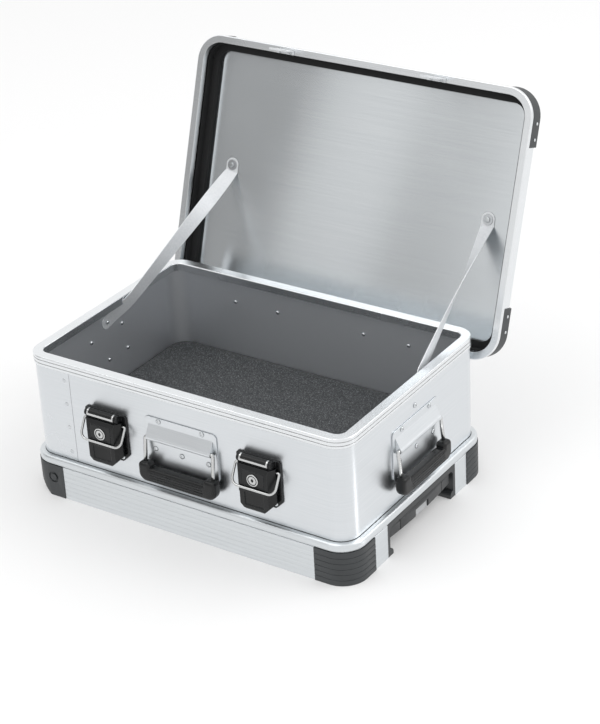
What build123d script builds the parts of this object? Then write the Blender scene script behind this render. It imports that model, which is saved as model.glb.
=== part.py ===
from build123d import *
import os
from math import cos, hypot, radians, sin

# An aluminium case on a wheeled base, modelled with its lid open.
# Millimetres. X runs to the end with the pull handle, Y to the hinges, Z up.
# The origin is on the floor under the middle of the base.

os.makedirs("parts", exist_ok=True)

# Base skirt
base_length = 600.0
base_width = 404.0
base_radius = 40.0
skirt_height = 57.0
skirt_wall = 3.0
skirt_foot = 18.0
foot_thickness = 2.0
rib_count = 6
rib_groove_height = 1.2
rib_groove_depth = 0.7
bead_height = 12.0
bead_groove_height = 1.5
bead_groove_depth = 1.6
bead_round = 4.5
corner_leg = 65.0
bumper_proud = 1.2
bumper_wall = 7.0
bumper_groove_count = 5

# Cross beams under the floor
beam_spacing = 170.0
beam_width = 40.0
beam_height = 23.5
beam_wall = 2.0

# Body of folded sheet
body_inset = 9.5
body_radius = 31.0
sheet = 1.5
floor_bottom = 84.0
mat_thickness = 6.5
mat_gap = 1.5
seam_from_left = 81.0
seam_width = 0.8
seam_depth = 0.6

# Rim round the opening
rim_bottom = 227.5
rim_top = 244.0
rim_proud = 2.0
rim_width = 17.0
rim_lip_height = 13.0
rim_skin = 2.2
rim_inner_radius = 14.0
rim_edge_round = 1.6
rim_line_depth = 0.6
rim_line_height = 0.9

# Lid
lid_reach = 18.5
lid_radius = 41.5
lid_bottom = 218.0
lid_depth = 35.5
lid_skin = 1.5
flange_width = 8.5
flange_height = 11.0
lid_edge_round = 8.0
lid_wall = 3.0
lid_shoulder = 5.0
lid_bead_proud = 3.5
lid_bead_height = 7.0
lid_bead_round = 1.6
gasket_width = 13.5
gasket_lip = 2.5
gasket_drop = 13.0
gasket_clearance = 0.3
corner_thickness = 2.6
corner_long_leg = 84.0
corner_short_leg = 46.0
corner_rise = 2.0
corner_round = 7.0
corner_start = 9.0
corner_cap = 16.0

# Hinges and the opening of the lid
pin_out = 5.7
pin_height = 203.0
pin_radius = 2.4
open_angle = 108.5
hinge_spacing = 250.0
leaf_width = 104.0
leaf_thickness = 2.0
leaf_height = 32.0
knuckle_radius = 4.6
knuckle_width = 30.0
lid_leaf_rise = 22.0
hinge_rivet_spread = 84.0
hinge_rivet_height = 189.0
pin_fit = 0.06
side_gap = 0.4

# Rivets
shank_radius = 2.0
head_radius = 4.2
head_height = 2.0
small_head_radius = 2.6
small_head_height = 1.2

# Latches, measured out from the front wall and up from the floor.
# A drop is counted down from the barrel at the top of the latch.
latch_spacing = 282.0
latch_plate_width = 78.0
latch_plate_bottom = 100.0
latch_plate_thickness = 3.0
latch_plate_cut = 12.0
latch_lower_rivet_height = 108.0
latch_upper_rivet_drop = 27.5
roll_out = 10.8
roll_height = 177.5
roll_radius = 6.4
roll_width = 54.0
journal_radius = 2.6
ear_thickness = 2.8
ear_radius = 6.0
ear_rise = 3.5
lever_bottom = 95.0
lever_top_drop = 7.5
lever_front = 20.0
lever_back = 5.6
lever_face_width = 50.0
lever_root_width = 66.0
lever_shoulder = 9.0
lever_slope = 7.0
lever_corner = 9.0
lever_wall = 3.0
lock_drop = 28.5
lock_radius = 10.0
lock_proud = 1.8
sleeve_radius = 8.3
plug_radius = 6.6
plug_length = 11.0
key_slot_width = 1.4
key_slot_height = 6.5
badge_width = 34.0
badge_bottom = 103.0
badge_top = 126.0
badge_depth = 1.4
panel_under_lock = 11.0
panel_height = 25.0
panel_width = 40.0
panel_line = 0.9
bail_out = 6.0
bail_pivot_drop = 13.5
bail_wire = 2.0
bail_half_width = 38.6
bail_drop = 30.0
bail_bend = 12.0
bail_fit = 0.08
clip_width = 50.0
clip_thickness = 0.8
clip_strip = 2.6

# Catches on the lid
catch_width = 32.0
catch_thickness = 2.0
catch_out = 15.0
catch_hang = 27.0
catch_ridge = 1.2
catch_ridge_height = 2.2
catch_rivet_spread = 18.0

# Drop handles on three walls
handle_plate_width = 132.0
handle_plate_bottom = 110.0
handle_plate_top = 194.0
handle_plate_thickness = 2.0
handle_plate_corner = 8.0
handle_slope_top = 182.0
handle_axis_out = 7.6
handle_axis_height = 162.0
handle_wire = 3.0
handle_wire_fit = 0.1
handle_tube_wall = 1.7
handle_tube_width = 118.0
handle_arm_spread = 125.0
handle_grip_out = 14.0
handle_bend = 4.0
grip_length = 142.0
grip_bottom = 90.0
grip_top = 114.0
grip_thickness = 18.0
grip_round = 5.5
grip_corner = 14.0
grip_horn = 8.0
grip_horn_length = 22.0
grip_horn_round = 6.5
grip_groove_count = 4
grip_groove_depth = 1.0
grip_groove_width = 2.0
arm_in_grip = 14.0
handle_upper_rivet_height = 189.0
handle_upper_rivet_spread = 80.0
handle_lower_rivet_height = 140.0
handle_lower_rivet_spread = 98.0

# Lid straps
strap_width = 24.0
strap_thickness = 1.2
strap_body_height = 208.0
strap_body_back = 2.0
strap_lid_half_spread = 244.0
strap_lid_shift = 4.0
strap_lid_from_rear = 213.0
strap_tab = 11.0
strap_lip_clearance = 1.1
strap_turns = 8
strap_twist_power = 1.75
washer_radius = 8.5
washer_thickness = 1.2

# Wheels
wheel_radius = 34.0
wheel_width = 22.0
wheel_from_end = 45.0
wheel_from_side = 32.0
wheel_ground_gap = 0.5
tyre_round = 3.0
hub_radius = 25.0
hub_rim = 4.0
hub_dish = 6.0
axle_radius = 4.0
axle_fit = 0.06
bolt_radius = 6.0
bolt_height = 2.5
bolt_recess = 2.0
bolt_recess_radius = 9.5
wheel_clearance = 3.0
housing_back = 30.0
housing_cut_floor = 36.0
housing_cut_rise = 32.0
housing_proud = 0.8

# Pull handle
opening_half = 101.0
bezel_wall = 3.0
bezel_side = 6.5
bezel_top = 8.5
bezel_depth = 44.0
bezel_lift = 7.0
bezel_round = 8.0
foot_reach = 8.5
foot_height = 12.0
foot_depth = 28.0
tube_spacing = 140.0
guide_size = 24.0
tube_wall = 2.0
tube_gap = 0.3
guide_length = 474.0
stage_shorter = 8.0
tube_corner = 3.0
pull_grip_half = 88.0
pull_grip_bottom = 24.5
pull_grip_top = 46.5
pull_grip_thickness = 28.0
pull_grip_bow = 4.0
pull_grip_round = 4.5
pull_grip_groove = 61.0
pull_grip_groove_width = 1.6
pull_grip_groove_depth = 1.4
tube_in_grip = 15.0
button_half = 18.5
button_bottom = 25.0
button_top = 38.5
button_length = 12.5
button_recess = 2.5
button_travel = 4.0
button_gap = 0.4
button_round = 1.5

# Worked out from the sizes above
bead_bottom = skirt_height + bead_groove_height
bead_top = bead_bottom + bead_height
lip_bottom = rim_top - rim_lip_height
body_length = base_length - 2 * body_inset
body_width = base_width - 2 * body_inset
rim_length = body_length + 2 * rim_proud
rim_span = body_width + 2 * rim_proud
lid_length = body_length + 2 * lid_reach
lid_width = body_width + 2 * lid_reach
lid_top = lid_bottom + lid_depth
latch_plate_top = roll_height + ear_rise
latch_upper_rivet_height = roll_height - latch_upper_rivet_drop
lever_top = roll_height - lever_top_drop
lock_height = roll_height - lock_drop
panel_bottom = lock_height - panel_under_lock
panel_top = panel_bottom + panel_height
bail_height = roll_height - bail_pivot_drop
pin_y = body_width / 2 + pin_out
wheel_x = -base_length / 2 + wheel_from_end
wheel_z = wheel_radius + wheel_ground_gap
wheel_y = base_width / 2 - wheel_from_side
grip_face = base_length / 2
opened = Pos(0, pin_y, pin_height) * Rot(-open_angle, 0, 0) * Pos(0, -pin_y, -pin_height)
front_wall = Pos(0, -body_width / 2, 0)
back_wall = Pos(0, body_width / 2, 0) * Rot(0, 0, 180)
right_wall = Pos(body_length / 2, 0, 0) * Rot(0, 0, 90)
left_wall = Pos(-body_length / 2, 0, 0) * Rot(0, 0, -90)
sides = (-1, 1)


# A slab with rounded corners, centred over the origin
def slab(length, width, radius, bottom, top):
    radius = max(min(radius, length / 2 - 1, width / 2 - 1), 0.5)
    return Pos(0, 0, bottom) * extrude(RectangleRounded(length, width, radius), top - bottom)


# A rounded ring of an even wall
def ring(length, width, radius, wall, bottom, top):
    outer = slab(length, width, radius, bottom, top)
    inner = slab(length - 2 * wall, width - 2 * wall, max(radius - wall, 1.0), bottom - 1, top + 1)
    return outer - inner


# A box between two corners
def block(x0, x1, y0, y1, z0, z1):
    return Pos((x0 + x1) / 2, (y0 + y1) / 2, (z0 + z1) / 2) * Box(abs(x1 - x0), abs(y1 - y0), abs(z1 - z0))


# Round bars along X and along Y
def bar_x(radius, x0, x1, y, z):
    return Pos((x0 + x1) / 2, y, z) * Rot(0, 90, 0) * Cylinder(radius, abs(x1 - x0))


def bar_y(radius, y0, y1, x, z):
    return Pos(x, (y0 + y1) / 2, z) * Rot(90, 0, 0) * Cylinder(radius, abs(y1 - y0))


# An outline of (distance out of the wall, height) points, extruded along X
def profile_x(points, x0, x1):
    face = make_face(Polyline(*[(x0, -out, height) for out, height in points], close=True))
    return extrude(face, amount=x1 - x0, dir=(1, 0, 0))


# An outline of (along the wall, height) points, extruded out of the wall
def profile_out(points, out0, out1):
    face = make_face(Polyline(*[(along, -out0, height) for along, height in points], close=True))
    return extrude(face, amount=out1 - out0, dir=(0, -1, 0))


# A round wire along a bent path
def wire(points, bend, radius):
    path = FilletPolyline(*points, radius=bend)
    section = Plane(origin=path @ 0, z_dir=path % 0) * Circle(radius)
    return sweep(section, path=path)


# A rivet through a wall: its axis is local Y and the outside is at -Y
def rivet(inside, outside, radius=head_radius, height=head_height):
    shank = bar_y(shank_radius, inside, -outside, 0, 0)
    head = Cylinder(radius, height, align=(Align.CENTER, Align.CENTER, Align.MIN))
    head = fillet(head.edges().group_by(Axis.Z)[-1], height * 0.7)
    outer = Pos(0, -outside, 0) * Rot(90, 0, 0) * head
    inner = Pos(0, inside, 0) * Rot(-90, 0, 0) * head
    return shank + outer + inner


def rivet_hole(inside, outside):
    return bar_y(shank_radius, inside + 0.5, -outside - 0.5, 0, 0)


# Places of the rivets: wall, along it, height, thickness of what they hold
def handle_rivets():
    half_upper = handle_upper_rivet_spread / 2
    half_lower = handle_lower_rivet_spread / 2
    places = [(along, handle_upper_rivet_height) for along in (-half_upper, half_upper)]
    places += [(along, handle_lower_rivet_height) for along in (-half_lower, 0, half_lower)]
    return places


def latch_rivets():
    half = latch_plate_width / 2 - latch_plate_cut
    heights = (latch_lower_rivet_height, latch_upper_rivet_height)
    return [(side * half, height) for side in sides for height in heights]


def hinge_rivets():
    return [(side * hinge_rivet_spread / 2, hinge_rivet_height) for side in sides]


def body_rivet_places():
    places = []
    for wall in (front_wall, right_wall, left_wall):
        for along, height in handle_rivets():
            places.append((wall * Pos(along, 0, height), handle_plate_thickness))
    for side in sides:
        for along, height in latch_rivets():
            at = Pos(side * latch_spacing / 2 + along, 0, height)
            places.append((front_wall * at, latch_plate_thickness))
        for along, height in hinge_rivets():
            at = Pos(side * hinge_spacing / 2 + along, 0, height)
            places.append((back_wall * at, leaf_thickness))
    return places


# Base
def corner_zone(side_x, side_y, bottom, top):
    x0 = side_x * (base_length / 2 - corner_leg)
    x1 = side_x * (base_length / 2 + 10)
    y0 = side_y * (base_width / 2 - corner_leg)
    y1 = side_y * (base_width / 2 + 10)
    return block(x0, x1, y0, y1, bottom, top)


def base_frame():
    skirt = ring(base_length, base_width, base_radius, skirt_wall, 0, skirt_height)
    skirt += ring(base_length, base_width, base_radius, skirt_foot, 0, foot_thickness)
    pitch = skirt_height / (rib_count + 1)
    for index in range(1, rib_count + 1):
        low = index * pitch - rib_groove_height / 2
        outer = slab(base_length + 2, base_width + 2, base_radius + 1, low, low + rib_groove_height)
        core = slab(
            base_length - 2 * rib_groove_depth,
            base_width - 2 * rib_groove_depth,
            base_radius - rib_groove_depth,
            low - 1,
            low + rib_groove_height + 1,
        )
        skirt -= outer - core
    for side_x in sides:
        for side_y in sides:
            skirt -= corner_zone(side_x, side_y, -1, skirt_height + 0.01)
    reach = skirt_foot + 10
    end = base_length / 2
    skirt -= block(end - reach, end + 1, -opening_half, opening_half, -1, skirt_height)
    neck_length = base_length - 2 * bead_groove_depth
    neck_width = base_width - 2 * bead_groove_depth
    neck_radius = base_radius - bead_groove_depth
    neck_wall = body_inset - bead_groove_depth
    neck = ring(neck_length, neck_width, neck_radius, neck_wall, skirt_height, bead_bottom)
    bead = slab(base_length, base_width, base_radius, bead_bottom, bead_top)
    bead = fillet(bead.edges().group_by(Axis.Z)[-1], bead_round)
    bead -= slab(body_length, body_width, body_radius, bead_bottom - 1, bead_top + 1)
    return skirt + neck + bead


def base_beams():
    half = base_width / 2 - skirt_foot
    beams = Part()
    for index in (-1, 0, 1):
        x = index * beam_spacing
        inner = beam_width / 2 - beam_wall
        beams += block(x - beam_width / 2, x + beam_width / 2, -half, half, 0, beam_height)
        beams -= block(x - inner, x + inner, -half - 1, half + 1, beam_wall, beam_height + 1)
    return beams


def bumper(side_y):
    wall = bumper_wall + bumper_proud
    length = base_length + 2 * bumper_proud
    width = base_width + 2 * bumper_proud
    radius = base_radius + bumper_proud
    shell = ring(length, width, radius, wall, 0, skirt_height)
    pitch = skirt_height / (bumper_groove_count + 1)
    for index in range(1, bumper_groove_count + 1):
        low = index * pitch - rib_groove_height / 2
        shell -= ring(length + 2, width + 2, radius + 1, 1 + rib_groove_depth, low, low + rib_groove_height)
    return shell & corner_zone(1, side_y, -1, skirt_height + 1)


def wheel_housing(side_y):
    length = base_length + 2 * housing_proud
    width = base_width + 2 * housing_proud
    solid = slab(length, width, base_radius + housing_proud, 0, skirt_height)
    solid = solid & corner_zone(-1, side_y, -1, skirt_height + 1)
    back = -base_length / 2 + corner_leg
    low = side_y * (base_width / 2 - corner_leg)
    high = side_y * (base_width / 2 - skirt_wall)
    solid += block(back, back + housing_back, low, high, foot_thickness, skirt_height)
    half = wheel_width / 2 + wheel_clearance
    y0 = side_y * wheel_y - half
    y1 = side_y * wheel_y + half
    solid -= bar_y(wheel_radius + wheel_clearance, y0, y1, wheel_x, wheel_z)
    solid -= block(wheel_x - wheel_radius - wheel_clearance, wheel_x + wheel_radius, y0, y1, -1, wheel_z)
    solid -= bar_y(axle_radius, -base_width, base_width, wheel_x, wheel_z)
    face_y = side_y * (base_width / 2 + housing_proud)
    solid -= bar_y(bolt_recess_radius, face_y - side_y * bolt_recess, face_y + side_y, wheel_x, wheel_z)
    left = -base_length / 2 - 5
    cut_x = -base_length / 2 + housing_cut_floor
    slope = housing_cut_rise / housing_cut_floor
    cut = [(cut_x + 2 / slope, -2), (left, housing_cut_rise + 5 * slope), (left, -2)]
    face = make_face(Polyline(*[(x, 0, z) for x, z in cut], close=True))
    return solid - extrude(face, amount=base_width, both=True)


def wheel_tyre(side_y):
    half = wheel_width / 2
    y = side_y * wheel_y
    tyre = bar_y(wheel_radius, y - half, y + half, wheel_x, wheel_z)
    tyre = fillet(tyre.edges().filter_by(GeomType.CIRCLE), tyre_round)
    return tyre - bar_y(hub_radius, y - half - 1, y + half + 1, wheel_x, wheel_z)


def wheel_hub(side_y):
    half = wheel_width / 2
    y = side_y * wheel_y
    hub = bar_y(hub_radius, y - half, y + half, wheel_x, wheel_z)
    for face in sides:
        dish = bar_y(hub_radius - hub_rim, y + face * half, y + face * (half - hub_dish), wheel_x, wheel_z)
        boss = bar_y(axle_radius + hub_rim, y + face * half, y + face * (half - hub_dish), wheel_x, wheel_z)
        hub = hub - dish + boss
    return hub - bar_y(axle_radius + axle_fit, y - half - 1, y + half + 1, wheel_x, wheel_z)


def axle(side_y):
    outer = side_y * (base_width / 2 + housing_proud - bolt_recess)
    inner = side_y * (base_width / 2 - corner_leg + 2)
    pin = bar_y(axle_radius, inner, outer, wheel_x, wheel_z)
    return pin + bar_y(bolt_radius, outer, outer + side_y * bolt_height, wheel_x, wheel_z)


# Pull handle
def guide_places():
    return [(side * tube_spacing / 2, beam_height + guide_size / 2) for side in sides]


def square_tube(size, x0, x1, y, z):
    middle = Plane(origin=(x0, y, z), x_dir=(0, 1, 0), z_dir=(1, 0, 0))
    outer = extrude(middle * RectangleRounded(size, size, tube_corner), x1 - x0)
    bore = size - 2 * tube_wall
    inner_corner = max(tube_corner - tube_wall, 0.5)
    return outer - extrude(middle * RectangleRounded(bore, bore, inner_corner), x1 - x0)


guide_front = base_length / 2 - bezel_depth + bezel_wall
guide_back = guide_front - guide_length
stage_size = guide_size - 2 * tube_wall - 2 * tube_gap
pull_tube_size = stage_size - 2 * tube_wall - 2 * tube_gap
grip_back = grip_face - pull_grip_thickness
button_front = grip_face - button_recess


def handle_bezel():
    outside = base_length / 2
    inside = outside - bezel_depth
    solid = block(inside, outside, -opening_half, opening_half, 0, skirt_height)
    hollow_half = opening_half - bezel_side
    hollow_top = skirt_height - bezel_top
    hollow = block(inside + bezel_wall, outside + 1, -hollow_half, hollow_half, -1, hollow_top)
    solid -= fillet(hollow.edges().filter_by(Axis.X).group_by(Axis.Z)[-1], bezel_round)
    solid -= block(inside - 1, outside - foot_depth, -opening_half - 1, opening_half + 1, -1, bezel_lift)
    for side in sides:
        low = side * (hollow_half - foot_reach)
        foot = block(outside - foot_depth, outside, low, side * hollow_half, 0, foot_height)
        top = foot.edges().filter_by(Axis.X).group_by(Axis.Z)[-1]
        inner = top.sort_by(lambda edge: abs(edge.center().Y))[0]
        solid += fillet(inner, foot_reach - 0.5)
    for y, z in guide_places():
        half = guide_size / 2
        solid -= block(inside - 1, inside + bezel_wall + 1, y - half, y + half, z - half, z + half)
    return solid


def pull_guides():
    tubes = Part()
    for y, z in guide_places():
        tubes += square_tube(guide_size, guide_back, guide_front, y, z)
    return tubes


def pull_stage():
    tubes = Part()
    for y, z in guide_places():
        tubes += square_tube(stage_size, guide_back + stage_shorter, guide_front + stage_shorter / 2, y, z)
    return tubes


def pull_tubes():
    tubes = Part()
    for y, z in guide_places():
        tubes += square_tube(pull_tube_size, guide_back + 2 * stage_shorter, grip_back + tube_in_grip, y, z)
    return tubes


def pull_grip():
    half = pull_grip_half
    low = pull_grip_bottom
    back = Polyline((grip_face - pull_grip_bow, half, low), (grip_back, half, low), (grip_back, -half, low),
                    (grip_face - pull_grip_bow, -half, low))
    front = ThreePointArc(back @ 1, (grip_face, 0, low), back @ 0)
    outline = make_face(Wire(back.edges() + front.edges()))
    solid = extrude(outline, amount=pull_grip_top - low, dir=(0, 0, 1))
    rims = solid.edges().group_by(Axis.Z)
    solid = fillet(rims[0] + rims[-1], pull_grip_round)
    for side in sides:
        y0 = side * pull_grip_groove
        y1 = y0 + side * pull_grip_groove_width
        depth = pull_grip_bow + pull_grip_groove_depth
        solid -= block(grip_face - depth, grip_face + 1, y0, y1, 0, pull_grip_top + 1)
    pocket_back = button_front - button_length - button_travel - button_gap
    wide = button_half + button_gap
    solid -= block(pocket_back, grip_face + 1, -wide, wide, 0, button_top + button_gap)
    for y, z in guide_places():
        half = pull_tube_size / 2
        solid -= block(grip_back - 1, grip_back + tube_in_grip, y - half, y + half, z - half, z + half)
    return solid


def release_button():
    back = button_front - button_length
    solid = block(back, button_front, -button_half, button_half, button_bottom, button_top)
    return fillet(solid.faces().sort_by(Axis.X)[-1].edges(), button_round)


# Body
def body_shell():
    shell = ring(body_length, body_width, body_radius, sheet, bead_bottom, lip_bottom)
    length = body_length - sheet
    width = body_width - sheet
    shell += slab(length, width, body_radius - sheet / 2, floor_bottom, floor_bottom + sheet)
    seam_x = -body_length / 2 + seam_from_left
    y = -body_width / 2
    shell -= block(seam_x, seam_x + seam_width, y - 1, y + seam_depth, bead_top, rim_bottom)
    for place, held in body_rivet_places():
        shell -= place * rivet_hole(sheet, held)
    for side in sides:
        shell -= strap_rivet_place(side) * rivet_hole(sheet, 1)
    return shell


def body_rim():
    bore_length = rim_length - 2 * rim_width
    bore_width = rim_span - 2 * rim_width
    solid = slab(rim_length, rim_span, body_radius + rim_proud, rim_bottom, rim_top)
    solid -= slab(bore_length, bore_width, rim_inner_radius, rim_bottom - 1, rim_top + 1)
    solid = fillet(solid.edges().group_by(Axis.Z)[-1], rim_edge_round)
    solid -= slab(body_length, body_width, body_radius, rim_bottom - 1, lip_bottom)
    hollow_top = rim_top - rim_skin
    inner_length = body_length - 2 * sheet
    inner_width = body_width - 2 * sheet
    hollow = slab(inner_length, inner_width, body_radius - sheet, rim_bottom, hollow_top)
    keep = slab(
        bore_length + 2 * rim_skin,
        bore_width + 2 * rim_skin,
        rim_inner_radius + rim_skin,
        rim_bottom - 1,
        rim_top,
    )
    solid -= hollow - keep
    for share in (0.25, 0.62):
        low = rim_bottom + share * (rim_top - rim_bottom)
        high = low + rim_line_height
        radius = body_radius + rim_proud + 1
        solid -= ring(rim_length + 2, rim_span + 2, radius, 1 + rim_line_depth, low, high)
    return solid


def floor_mat():
    inset = 2 * (sheet + mat_gap)
    bottom = floor_bottom + sheet
    radius = body_radius - sheet - mat_gap
    return slab(body_length - inset, body_width - inset, radius, bottom, bottom + mat_thickness)


def body_rivets():
    rivets = Part()
    for place, held in body_rivet_places():
        rivets += place * rivet(sheet, held)
    for side in sides:
        rivets += strap_rivet_place(side) * rivet(sheet + strap_thickness, 0)
    return rivets


# Lid, built shut and then opened
def lid_ring(inset, wall, bottom, top):
    return ring(lid_length - 2 * inset, lid_width - 2 * inset, lid_radius - inset, wall, bottom, top)


def lid_block():
    solid = slab(lid_length, lid_width, lid_radius, lid_bottom, lid_top)
    return fillet(solid.edges().group_by(Axis.Z)[-1], lid_edge_round)


def lid_frame():
    proud = 2 * lid_bead_proud
    bead_top = lid_bottom + lid_bead_height
    bead = slab(lid_length + proud, lid_width + proud, lid_radius + lid_bead_proud, lid_bottom, bead_top)
    bead = fillet(bead.edges().group_by(Axis.Z)[0] + bead.edges().group_by(Axis.Z)[-1], lid_bead_round)
    for side in sides:
        x = side * hinge_spacing / 2
        leaf = leaf_width / 2 + side_gap
        bead -= block(x - leaf, x + leaf, lid_width / 2, lid_width, lid_bottom - 1, bead_top + 1)
    outer = lid_block() + bead
    inner_length = lid_length - 2 * flange_width
    inner_width = lid_width - 2 * flange_width
    inner_radius = lid_radius - flange_width
    outer -= slab(inner_length, inner_width, inner_radius, lid_bottom - 1, lid_top + 1)
    channel = lid_ring(lid_wall, flange_width, lid_bottom + flange_height, lid_top - lid_shoulder)
    frame = outer - channel
    for side in sides:
        for along in (-1, 1):
            x = side * latch_spacing / 2 + along * catch_rivet_spread / 2
            y = catch_foot_y()
            frame -= Pos(x, y, lid_bottom) * Cylinder(shank_radius - 0.5, 2 * catch_rivet_depth())
    return frame


def lid_panel():
    inset = flange_width
    bottom = lid_top - lid_skin
    panel = slab(lid_length - 2 * inset, lid_width - 2 * inset, lid_radius - inset, bottom, lid_top)
    for side in sides:
        panel -= Pos(strap_lid_x(side), strap_lid_y(), bottom) * Cylinder(shank_radius, 4 * lid_skin)
    return panel


def lid_gasket():
    inset = flange_width
    floor = rim_top + gasket_clearance
    flat = lid_ring(inset, gasket_width, floor, lid_top - lid_skin)
    lip = lid_ring(inset, gasket_lip, floor - gasket_drop, floor)
    return flat + lip


def lid_corner(side_x, side_y):
    length = lid_length + 2 * corner_thickness
    width = lid_width + 2 * corner_thickness
    radius = lid_radius + corner_thickness
    low = lid_bottom + corner_start
    high = lid_top + corner_rise
    shell = slab(length, width, radius, low, high)
    shell = fillet(shell.edges().group_by(Axis.Z)[-1], corner_round)
    shell -= lid_block()
    window = 2 * corner_cap
    shell -= slab(length - window, width - window, radius - corner_cap, lid_top - 1, high + 1)
    x0 = side_x * (lid_length / 2 - corner_short_leg)
    y0 = side_y * (lid_width / 2 - corner_long_leg)
    return shell & block(x0, side_x * length, y0, side_y * width, low - 1, high + 1)


def lid_corners():
    corners = Part()
    for side_x in sides:
        for side_y in sides:
            corners += lid_corner(side_x, side_y)
    for place in lid_corner_rivet_places():
        corners -= place * rivet_hole(0, corner_thickness)
    return corners


def lid_corner_rivet_places():
    places = []
    height = (lid_bottom + lid_top) / 2 + corner_start / 2
    for side_x in sides:
        wall = Pos(side_x * lid_length / 2, 0, height) * Rot(0, 0, side_x * 90)
        for side_y in sides:
            for back in (corner_long_leg - 12, corner_long_leg - 37):
                places.append(wall * Pos(side_x * side_y * (lid_width / 2 - back), 0, 0))
    return places


def catch_foot_out():
    return lid_width / 2 - flange_width - body_width / 2


def catch_foot_y():
    return -body_width / 2 - (catch_foot_out() + catch_out) / 2


def catch_rivet_depth():
    return flange_height / 2


def lid_catch(side):
    foot_back = catch_foot_out()
    out = catch_out
    low = lid_bottom - catch_hang
    points = [
        (foot_back, lid_bottom),
        (out + catch_thickness, lid_bottom),
        (out + catch_thickness, low + catch_ridge_height),
        (out + catch_thickness + catch_ridge, low + catch_ridge_height),
        (out + catch_thickness + catch_ridge, low),
        (out, low),
        (out, lid_bottom - catch_thickness),
        (foot_back, lid_bottom - catch_thickness),
    ]
    half = catch_width / 2
    catch = front_wall * profile_x(points, -half, half)
    for along in (-1, 1):
        x = along * catch_rivet_spread / 2
        catch -= Pos(x, catch_foot_y(), lid_bottom) * Cylinder(shank_radius - 0.5, 4 * catch_thickness)
    return Pos(side * latch_spacing / 2, 0, 0) * catch


def lid_rivets():
    rivets = Part()
    small = Cylinder(small_head_radius, small_head_height, align=(Align.CENTER, Align.CENTER, Align.MIN))
    small = fillet(small.edges().group_by(Axis.Z)[-1], small_head_height * 0.7)
    for side in sides:
        for along in (-1, 1):
            x = side * latch_spacing / 2 + along * catch_rivet_spread / 2
            low = lid_bottom - catch_thickness
            pin_top = lid_bottom + catch_rivet_depth()
            pin = Pos(x, catch_foot_y(), (low + pin_top) / 2) * Cylinder(shank_radius - 0.5, pin_top - low)
            rivets += pin + Pos(x, catch_foot_y(), low) * Rot(180, 0, 0) * small
    for place in lid_corner_rivet_places():
        head = Pos(0, -corner_thickness, 0) * Rot(90, 0, 0) * small
        rivets += place * (head + bar_y(shank_radius, 0, -corner_thickness, 0, 0))
    for side in sides:
        panel = lid_top - lid_skin
        at = Pos(strap_lid_x(side), strap_lid_y(), 0)
        rivets += at * (Pos(0, 0, panel) * washer_stack())
    return rivets


# Hinges
def knuckle(x0, x1):
    return bar_x(knuckle_radius, x0, x1, pin_y, pin_height)


def knuckle_bore():
    return bar_x(pin_radius + pin_fit, -leaf_width, leaf_width, pin_y, pin_height)


def hinge_body_leaf(side):
    half = leaf_width / 2
    wall_y = body_width / 2
    top = pin_height - knuckle_radius - 0.5
    leaf = block(-half, half, wall_y, wall_y + leaf_thickness, top - leaf_height, top)
    inner = knuckle_width / 2 + side_gap
    outer = inner + knuckle_width * 0.7
    for way in sides:
        x0, x1 = way * inner, way * outer
        leaf += knuckle(x0, x1)
        leaf += block(x0, x1, wall_y, wall_y + leaf_thickness, top - 1, pin_height)
    for along, height in hinge_rivets():
        leaf -= back_wall * Pos(along, 0, height) * rivet_hole(sheet, leaf_thickness)
    leaf -= knuckle_bore()
    return Pos(side * hinge_spacing / 2, 0, 0) * leaf


def hinge_lid_leaf(side):
    skirt_y = lid_width / 2
    half = leaf_width / 2
    low = lid_bottom - leaf_thickness
    leaf = block(-half, half, skirt_y, skirt_y + leaf_thickness, low, lid_bottom + lid_leaf_rise)
    neck = knuckle_width / 2
    reach = lid_reach + leaf_thickness
    bent = [
        (-reach, low),
        (-reach, lid_bottom),
        (-lid_reach, lid_bottom),
        (-pin_out + 1.0, pin_height + knuckle_radius - 0.6),
        (-pin_out - knuckle_radius + 1.2, pin_height),
        (-pin_out - knuckle_radius + 0.4, pin_height + 0.6),
    ]
    web = Pos(0, body_width / 2, 0) * profile_x(bent, -neck, neck)
    leaf += web
    leaf += knuckle(-neck, neck)
    leaf -= knuckle_bore()
    return Pos(side * hinge_spacing / 2, 0, 0) * leaf


def hinge_pin(side):
    reach = knuckle_width / 2 + side_gap + knuckle_width * 0.7
    pin = bar_x(pin_radius, -reach, reach, pin_y, pin_height)
    for way in sides:
        pin += bar_x(pin_radius + 1.2, way * reach, way * (reach + 1.5), pin_y, pin_height)
    return Pos(side * hinge_spacing / 2, 0, 0) * pin


# Latches, in their own frame: X along the wall, -Y out of it
def at_latch(side):
    return front_wall * Pos(side * latch_spacing / 2, 0, 0)


def latch_base():
    half = latch_plate_width / 2
    low, high, cut = latch_plate_bottom, latch_plate_top, latch_plate_cut
    outline = [
        (-half, low + cut),
        (-half + cut, low),
        (half - cut, low),
        (half, low + cut),
        (half, high - 3),
        (half - 3, high),
        (-half + 3, high),
        (-half, high - 3),
    ]
    plate = profile_out(outline, 0, latch_plate_thickness)
    ear_in = roll_width / 2 + side_gap
    for side in sides:
        x0, x1 = side * ear_in, side * (ear_in + ear_thickness)
        ear = bar_x(ear_radius, x0, x1, -roll_out, roll_height)
        ear += block(x0, x1, 0, -roll_out, roll_height - ear_radius, roll_height + ear_rise)
        plate += ear
    plate -= bar_x(journal_radius + pin_fit, -half - 5, half + 5, -roll_out, roll_height)
    for along, height in latch_rivets():
        plate -= Pos(along, 0, height) * rivet_hole(0, latch_plate_thickness)
    return plate


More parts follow.
